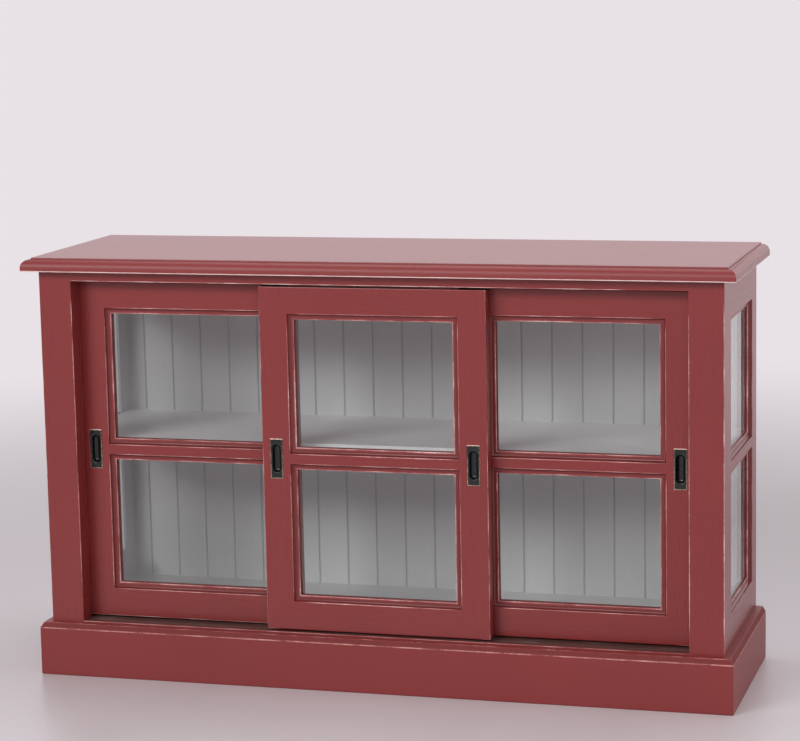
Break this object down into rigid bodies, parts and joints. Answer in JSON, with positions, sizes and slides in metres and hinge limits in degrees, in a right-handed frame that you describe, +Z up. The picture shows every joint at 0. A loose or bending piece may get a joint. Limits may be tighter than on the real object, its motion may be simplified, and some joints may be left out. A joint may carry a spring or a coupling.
{
  "type": "china cabinet",
  "caption": "Long low display sideboard in worn red paint: glazed sliding doors with flush pulls, glazed sides, an inner shelf, a boarded back, a moulded top and a plinth.",
  "frame": {"origin": "on the floor, under the middle of the cabinet's bounding box", "axes": "+X to the right seen from the front, +Y from the front to the back, +Z up; the doors face -Y"},
  "size_m": [1.5, 0.457, 0.896],
  "materials": {
    "red_paint": "dull red eggshell paint, rubbed through to a pale pink ground along the edges",
    "grey_paint": "satin pale grey paint",
    "bare_track": "dark brown, worn and dusty",
    "glass": "clear, polished",
    "dark_bronze": "dark bronze patina, semi-matt",
    "nylon": "plain dark nylon",
    "steel_pin": "plain steel"
  },
  "bodies": {
    "carcass": {"top_board": "red_paint", "left_front_post": "red_paint", "right_front_post": "red_paint", "left_rear_stile": "red_paint", "right_rear_stile": "red_paint", "left_side_top_rail": "red_paint", "left_side_mid_rail": "red_paint", "left_side_bottom_rail": "red_paint", "right_side_top_rail": "red_paint", "right_side_mid_rail": "red_paint", "right_side_bottom_rail": "red_paint", "side_glass": "glass", "side_glazing_beads": "red_paint", "front_top_rail": "red_paint", "guide_strips": "bare_track", "sill": "red_paint", "track_board": "bare_track", "bottom_panel": "grey_paint", "shelf": "grey_paint", "shelf_cleats": "grey_paint", "back_boards": "grey_paint", "back_rails": "grey_paint", "plinth_front": "red_paint", "plinth_left": "red_paint", "plinth_right": "red_paint"},
    "left_door": {"left_door_left_stile": "red_paint", "left_door_right_stile": "red_paint", "left_door_top_rail": "red_paint", "left_door_mid_rail": "red_paint", "left_door_bottom_rail": "red_paint", "left_door_glazing_beads": "red_paint", "left_door_glass": "glass", "left_door_roller_pins": "steel_pin", "left_door_pull": "dark_bronze"},
    "left_door_left_roller": {"left_door_left_roller": "nylon"},
    "left_door_right_roller": {"left_door_right_roller": "nylon"},
    "middle_door": {"middle_door_left_stile": "red_paint", "middle_door_right_stile": "red_paint", "middle_door_top_rail": "red_paint", "middle_door_mid_rail": "red_paint", "middle_door_bottom_rail": "red_paint", "middle_door_glazing_beads": "red_paint", "middle_door_glass": "glass", "middle_door_roller_pins": "steel_pin", "middle_door_left_pull": "dark_bronze", "middle_door_right_pull": "dark_bronze"},
    "middle_door_left_roller": {"middle_door_left_roller": "nylon"},
    "middle_door_right_roller": {"middle_door_right_roller": "nylon"},
    "right_door": {"right_door_left_stile": "red_paint", "right_door_right_stile": "red_paint", "right_door_top_rail": "red_paint", "right_door_mid_rail": "red_paint", "right_door_bottom_rail": "red_paint", "right_door_glazing_beads": "red_paint", "right_door_glass": "glass", "right_door_roller_pins": "steel_pin", "right_door_pull": "dark_bronze"},
    "right_door_left_roller": {"right_door_left_roller": "nylon"},
    "right_door_right_roller": {"right_door_right_roller": "nylon"}
  },
  "joints": [
    {"name": "left_door_slide", "type": "slide", "parent": "carcass", "child": "left_door", "axis": [1, 0, 0], "range_m": [0, 0.17]},
    {"name": "left_door_left_roller_turn", "type": "hinge", "parent": "left_door", "child": "left_door_left_roller", "pos_m": [-0.5365, -0.1365, 0.1283], "axis": [0, 1, 0], "range_deg": [0, 650]},
    {"name": "left_door_right_roller_turn", "type": "hinge", "parent": "left_door", "child": "left_door_right_roller", "pos_m": [-0.2965, -0.1365, 0.1283], "axis": [0, 1, 0], "range_deg": [0, 650]},
    {"name": "middle_door_slide", "type": "slide", "parent": "carcass", "child": "middle_door", "axis": [1, 0, 0], "range_m": [-0.41, 0.41]},
    {"name": "middle_door_left_roller_turn", "type": "hinge", "parent": "middle_door", "child": "middle_door_left_roller", "pos_m": [-0.12, -0.1725, 0.1283], "axis": [0, 1, 0], "range_deg": [-1567, 1567]},
    {"name": "middle_door_right_roller_turn", "type": "hinge", "parent": "middle_door", "child": "middle_door_right_roller", "pos_m": [0.12, -0.1725, 0.1283], "axis": [0, 1, 0], "range_deg": [-1567, 1567]},
    {"name": "right_door_slide", "type": "slide", "parent": "carcass", "child": "right_door", "axis": [1, 0, 0], "range_m": [-0.17, 0]},
    {"name": "right_door_left_roller_turn", "type": "hinge", "parent": "right_door", "child": "right_door_left_roller", "pos_m": [0.2965, -0.1365, 0.1283], "axis": [0, 1, 0], "range_deg": [-650, 0]},
    {"name": "right_door_right_roller_turn", "type": "hinge", "parent": "right_door", "child": "right_door_right_roller", "pos_m": [0.5365, -0.1365, 0.1283], "axis": [0, 1, 0], "range_deg": [-650, 0]}
  ],
  "couplings": [
    {"joint": "left_door_left_roller_turn", "follows": "left_door_slide", "rad_per_m": 66.667},
    {"joint": "left_door_right_roller_turn", "follows": "left_door_slide", "rad_per_m": 66.667},
    {"joint": "middle_door_left_roller_turn", "follows": "middle_door_slide", "rad_per_m": 66.667},
    {"joint": "middle_door_right_roller_turn", "follows": "middle_door_slide", "rad_per_m": 66.667},
    {"joint": "right_door_left_roller_turn", "follows": "right_door_slide", "rad_per_m": 66.667},
    {"joint": "right_door_right_roller_turn", "follows": "right_door_slide", "rad_per_m": 66.667}
  ]
}
